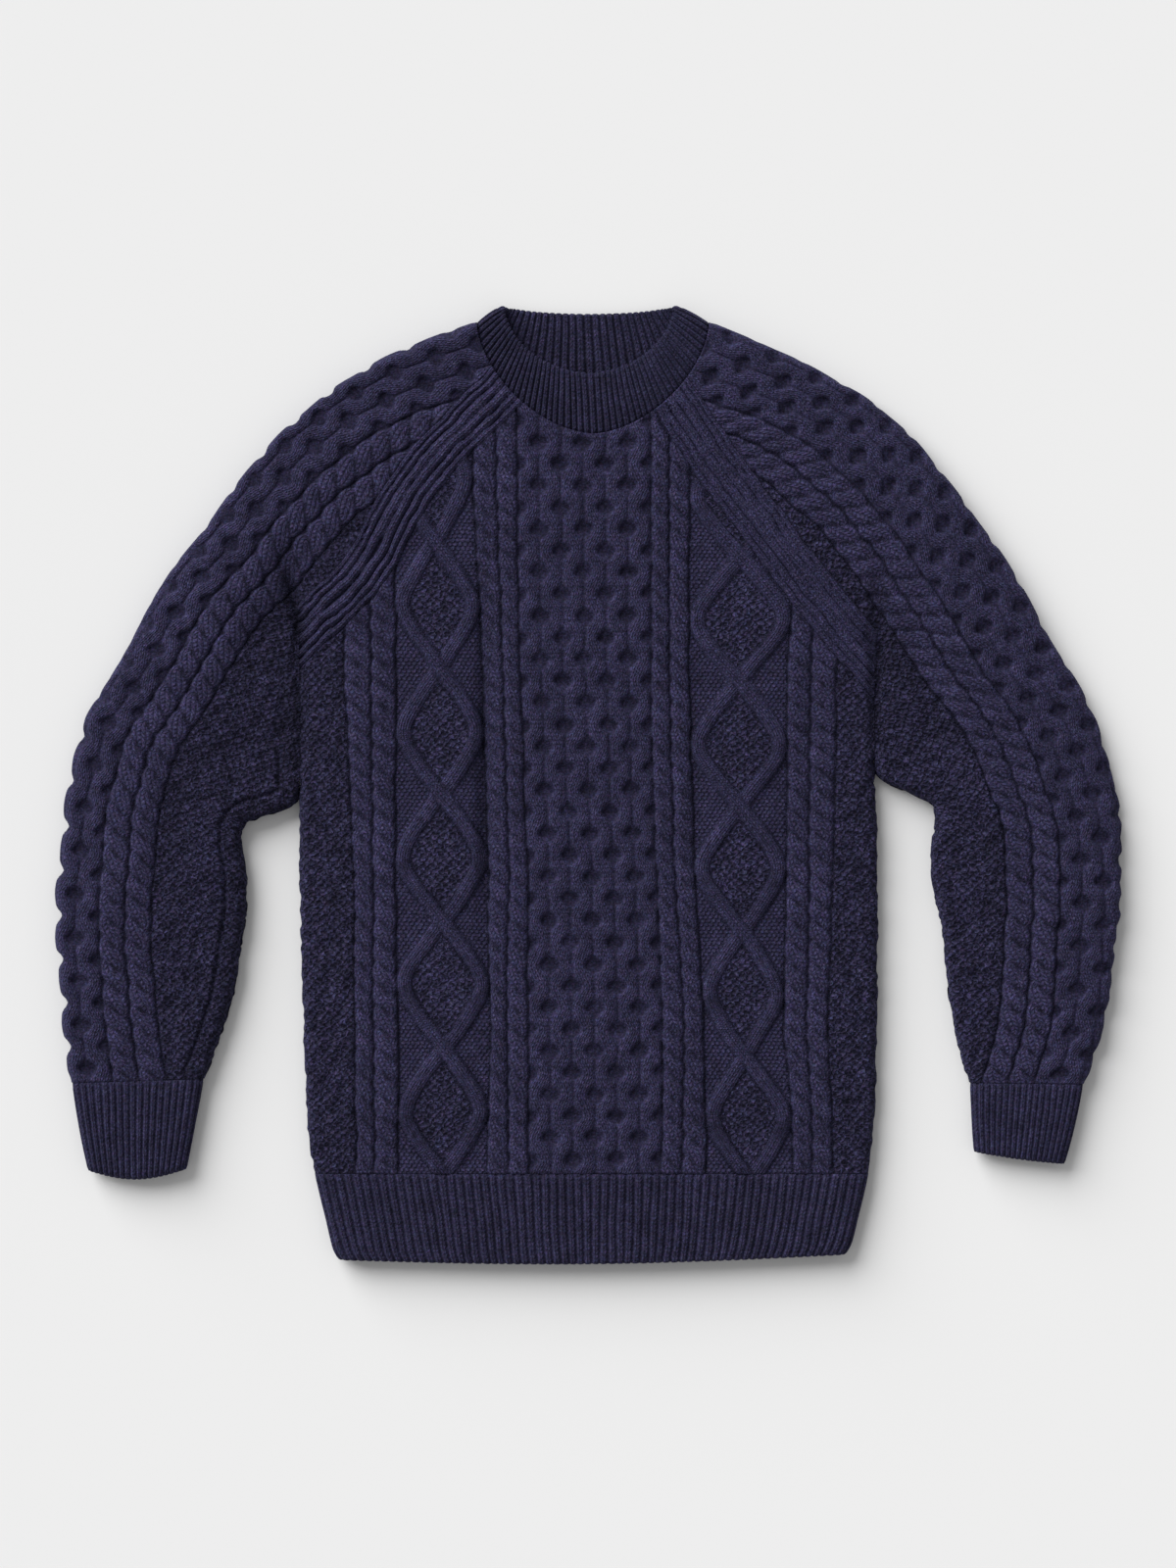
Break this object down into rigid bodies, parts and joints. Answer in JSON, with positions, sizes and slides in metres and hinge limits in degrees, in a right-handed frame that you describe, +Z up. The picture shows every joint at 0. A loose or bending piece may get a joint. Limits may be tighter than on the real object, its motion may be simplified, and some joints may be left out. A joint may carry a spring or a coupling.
{
  "type": "aran sweater",
  "caption": "Cable-knit raglan sweater with honeycomb, diamond and rope columns, lying flat with its sleeves beside the body.",
  "frame": {"origin": "centre of the footprint on the surface that the sweater lies on", "axes": "+X from the wearer's right sleeve to the left sleeve, +Y towards the neck, +Z up, with the front of the garment facing up"},
  "size_m": [0.8, 0.722, 0.016],
  "materials": {
    "cable_wool": "matt knitted wool",
    "rib_wool": "matt ribbed wool"
  },
  "bodies": {
    "root": {"front": "cable_wool", "back": "cable_wool", "sleeve_right": "cable_wool", "sleeve_left": "cable_wool", "cuff_right": "rib_wool", "cuff_left": "rib_wool", "hem_front": "rib_wool", "hem_back": "rib_wool", "neckband": "rib_wool"}
  },
  "joints": []
}
